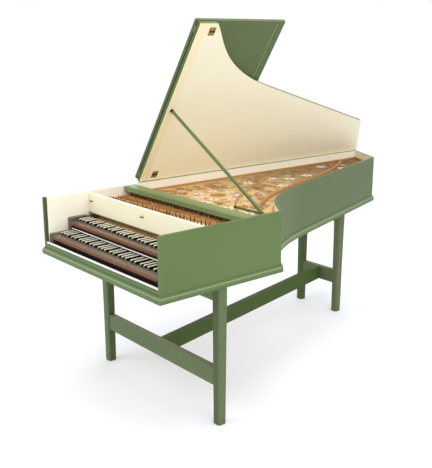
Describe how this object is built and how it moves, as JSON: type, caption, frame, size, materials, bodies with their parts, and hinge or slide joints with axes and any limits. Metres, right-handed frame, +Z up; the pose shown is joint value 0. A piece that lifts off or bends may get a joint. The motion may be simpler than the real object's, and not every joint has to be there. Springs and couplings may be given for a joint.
{
  "type": "harpsichord",
  "caption": "Wing-shaped keyboard instrument with two manuals, a painted soundboard and a hinged lid on a prop stick, on a stand with stretchers.",
  "frame": {"origin": "on the floor under the middle of the bounding box, lid up", "axes": "+X from the long spine to the cheek, +Y from the player to the tail, +Z up"},
  "size_m": [0.9792, 2.3, 1.7115],
  "materials": {
    "green_paint": "satin grey-green paint on wood",
    "cream_paint": "satin cream paint on wood",
    "soundboard_wood": "varnished spruce",
    "plain_wood": "bare wood",
    "black_wood": "black stained wood",
    "ebony_and_bone": "ebony naturals, bone-topped sharps",
    "brass": "dull brass"
  },
  "bodies": {
    "case": {"spine": "green_paint", "cheek": "green_paint", "bentside": "green_paint", "tail": "green_paint", "bottom_board": "plain_wood", "base_moulding": "green_paint", "front_rail": "green_paint", "front_rail_cap": "cream_paint", "nameboard": "cream_paint", "wrest_plank": "plain_wood", "belly_rail": "plain_wood", "soundboard": "soundboard_wood", "soundboard_trim": "plain_wood", "bridge_8ft": "plain_wood", "bridge_4ft": "plain_wood", "nut_8ft": "plain_wood", "nut_4ft": "plain_wood", "lower_key_frame": "black_wood", "manual_batten": "cream_paint", "prop_bracket": "brass", "case_hinge_leaf_front": "brass", "case_hinge_leaf_rear": "brass", "top_rail_front": "green_paint", "top_rail_rear": "green_paint", "stretcher_front": "green_paint", "stretcher_rear": "green_paint", "stretcher_long": "green_paint", "leg_front_spine_side": "green_paint", "leg_front_cheek_side": "green_paint", "leg_rear_spine_side": "green_paint", "leg_rear_cheek_side": "green_paint"},
    "lid": {"lid": "cream_paint", "lid_socket": "brass", "lid_hinge_leaf_front": "brass", "lid_hinge_leaf_rear": "brass", "flap_hinge_strap_spine_side": "brass", "flap_hinge_strap_cheek_side": "brass"},
    "flap": {"lid_flap": "cream_paint", "flap_hinge_leaf_spine_side": "brass", "flap_hinge_leaf_cheek_side": "brass"},
    "prop_stick": {"prop_stick": "green_paint"},
    "short_prop": {"short_prop": "green_paint"},
    "jack_rail": {"jack_rail": "green_paint"},
    "upper_manual": {"upper_key_frame": "black_wood"},
    "lower_keys_bass": {"lower_keys_bass": "ebony_and_bone"},
    "lower_key_c": {"lower_key_c": "ebony_and_bone"},
    "lower_key_c_sharp": {"lower_key_c_sharp": "ebony_and_bone"},
    "lower_key_d": {"lower_key_d": "ebony_and_bone"},
    "lower_keys_treble": {"lower_keys_treble": "ebony_and_bone"},
    "upper_keys_bass": {"upper_keys_bass": "ebony_and_bone"},
    "upper_key_c": {"upper_key_c": "ebony_and_bone"},
    "upper_key_c_sharp": {"upper_key_c_sharp": "ebony_and_bone"},
    "upper_key_d": {"upper_key_d": "ebony_and_bone"},
    "upper_keys_treble": {"upper_keys_treble": "ebony_and_bone"},
    "register_front_8ft": {"register_front_8ft": "plain_wood"},
    "stop_lever_front_8ft": {"stop_lever_front_8ft": "brass"},
    "register_octave_4ft": {"register_octave_4ft": "plain_wood"},
    "stop_lever_octave_4ft": {"stop_lever_octave_4ft": "brass"},
    "register_back_8ft": {"register_back_8ft": "plain_wood"},
    "stop_lever_back_8ft": {"stop_lever_back_8ft": "brass"}
  },
  "joints": [
    {"name": "lid_hinge", "type": "hinge", "parent": "case", "child": "lid", "pos_m": [-0.4547, 0.26047, 0.90515], "axis": [0, -1, 0], "range_deg": [-56.9, 0]},
    {"name": "flap_hinge", "type": "hinge", "parent": "lid", "child": "flap", "pos_m": [-0.21724, -0.59053, 1.30997], "axis": [0.5461, 0, 0.8377], "range_deg": [0, 180]},
    {"name": "prop_stick_pivot", "type": "hinge", "parent": "case", "child": "prop_stick", "pos_m": [0.4461, -0.56053, 0.892], "axis": [-0.9602, 0.1115, 0.2562], "range_deg": [-127.6, 0]},
    {"name": "short_prop_pivot", "type": "hinge", "parent": "case", "child": "short_prop", "pos_m": [0.4461, -0.54753, 0.892], "axis": [0, 1, 0], "range_deg": [0, 85]},
    {"name": "jack_rail_lift", "type": "slide", "parent": "case", "child": "jack_rail", "axis": [0, 0, 1], "range_m": [0, 0.025]},
    {"name": "upper_manual_slide", "type": "slide", "parent": "case", "child": "upper_manual", "axis": [0, 1, 0], "range_m": [0, 0.006]},
    {"name": "register_front_8ft_slide", "type": "slide", "parent": "case", "child": "register_front_8ft", "axis": [1, 0, 0], "range_m": [0, 0.002]},
    {"name": "stop_lever_front_8ft_pivot", "type": "hinge", "parent": "case", "child": "stop_lever_front_8ft", "pos_m": [0.02098, -0.73453, 0.858], "axis": [0, 0, 1], "range_deg": [-1.96, 0]},
    {"name": "register_octave_4ft_slide", "type": "slide", "parent": "case", "child": "register_octave_4ft", "axis": [1, 0, 0], "range_m": [0, 0.002]},
    {"name": "stop_lever_octave_4ft_pivot", "type": "hinge", "parent": "case", "child": "stop_lever_octave_4ft", "pos_m": [0.43511, -0.73453, 0.858], "axis": [0, 0, 1], "range_deg": [-1.55, 0]},
    {"name": "register_back_8ft_slide", "type": "slide", "parent": "case", "child": "register_back_8ft", "axis": [1, 0, 0], "range_m": [0, 0.002]},
    {"name": "stop_lever_back_8ft_pivot", "type": "hinge", "parent": "case", "child": "stop_lever_back_8ft", "pos_m": [-0.4069, -0.73453, 0.858], "axis": [0, 0, 1], "range_deg": [-1.28, 0]},
    {"name": "lower_keys_bass_pivot", "type": "hinge", "parent": "case", "child": "lower_keys_bass", "pos_m": [0.0141, -0.87753, 0.7125], "axis": [1, 0, 0], "range_deg": [0, 1.89], "stiffness_Nm_per_rad": 30, "springref_deg": -5.73},
    {"name": "lower_key_c_pivot", "type": "hinge", "parent": "case", "child": "lower_key_c", "pos_m": [0.0141, -0.87753, 0.7125], "axis": [1, 0, 0], "range_deg": [0, 1.89], "stiffness_Nm_per_rad": 1.5, "springref_deg": -5.73},
    {"name": "lower_key_c_sharp_pivot", "type": "hinge", "parent": "case", "child": "lower_key_c_sharp", "pos_m": [0.0141, -0.87753, 0.7125], "axis": [1, 0, 0], "range_deg": [0, 1.89], "stiffness_Nm_per_rad": 1.5, "springref_deg": -5.73},
    {"name": "lower_key_d_pivot", "type": "hinge", "parent": "case", "child": "lower_key_d", "pos_m": [0.0141, -0.87753, 0.7125], "axis": [1, 0, 0], "range_deg": [0, 1.89], "stiffness_Nm_per_rad": 1.5, "springref_deg": -5.73},
    {"name": "lower_keys_treble_pivot", "type": "hinge", "parent": "case", "child": "lower_keys_treble", "pos_m": [0.0141, -0.87753, 0.7125], "axis": [1, 0, 0], "range_deg": [0, 1.89], "stiffness_Nm_per_rad": 30, "springref_deg": -5.73},
    {"name": "upper_keys_bass_pivot", "type": "hinge", "parent": "upper_manual", "child": "upper_keys_bass", "pos_m": [0.0141, -0.83953, 0.763], "axis": [1, 0, 0], "range_deg": [0, 2.53], "stiffness_Nm_per_rad": 30, "springref_deg": -5.73},
    {"name": "upper_key_c_pivot", "type": "hinge", "parent": "upper_manual", "child": "upper_key_c", "pos_m": [0.0141, -0.83953, 0.763], "axis": [1, 0, 0], "range_deg": [0, 2.53], "stiffness_Nm_per_rad": 1.5, "springref_deg": -5.73},
    {"name": "upper_key_c_sharp_pivot", "type": "hinge", "parent": "upper_manual", "child": "upper_key_c_sharp", "pos_m": [0.0141, -0.83953, 0.763], "axis": [1, 0, 0], "range_deg": [0, 2.53], "stiffness_Nm_per_rad": 1.5, "springref_deg": -5.73},
    {"name": "upper_key_d_pivot", "type": "hinge", "parent": "upper_manual", "child": "upper_key_d", "pos_m": [0.0141, -0.83953, 0.763], "axis": [1, 0, 0], "range_deg": [0, 2.53], "stiffness_Nm_per_rad": 1.5, "springref_deg": -5.73},
    {"name": "upper_keys_treble_pivot", "type": "hinge", "parent": "upper_manual", "child": "upper_keys_treble", "pos_m": [0.0141, -0.83953, 0.763], "axis": [1, 0, 0], "range_deg": [0, 2.53], "stiffness_Nm_per_rad": 30, "springref_deg": -5.73}
  ],
  "couplings": [
    {"joint": "prop_stick_pivot", "follows": "lid_hinge", "ratio": 2.241},
    {"joint": "stop_lever_front_8ft_pivot", "follows": "register_front_8ft_slide", "rad_per_m": -16.949},
    {"joint": "stop_lever_octave_4ft_pivot", "follows": "register_octave_4ft_slide", "rad_per_m": -13.333},
    {"joint": "stop_lever_back_8ft_pivot", "follows": "register_back_8ft_slide", "rad_per_m": -10.989}
  ]
}
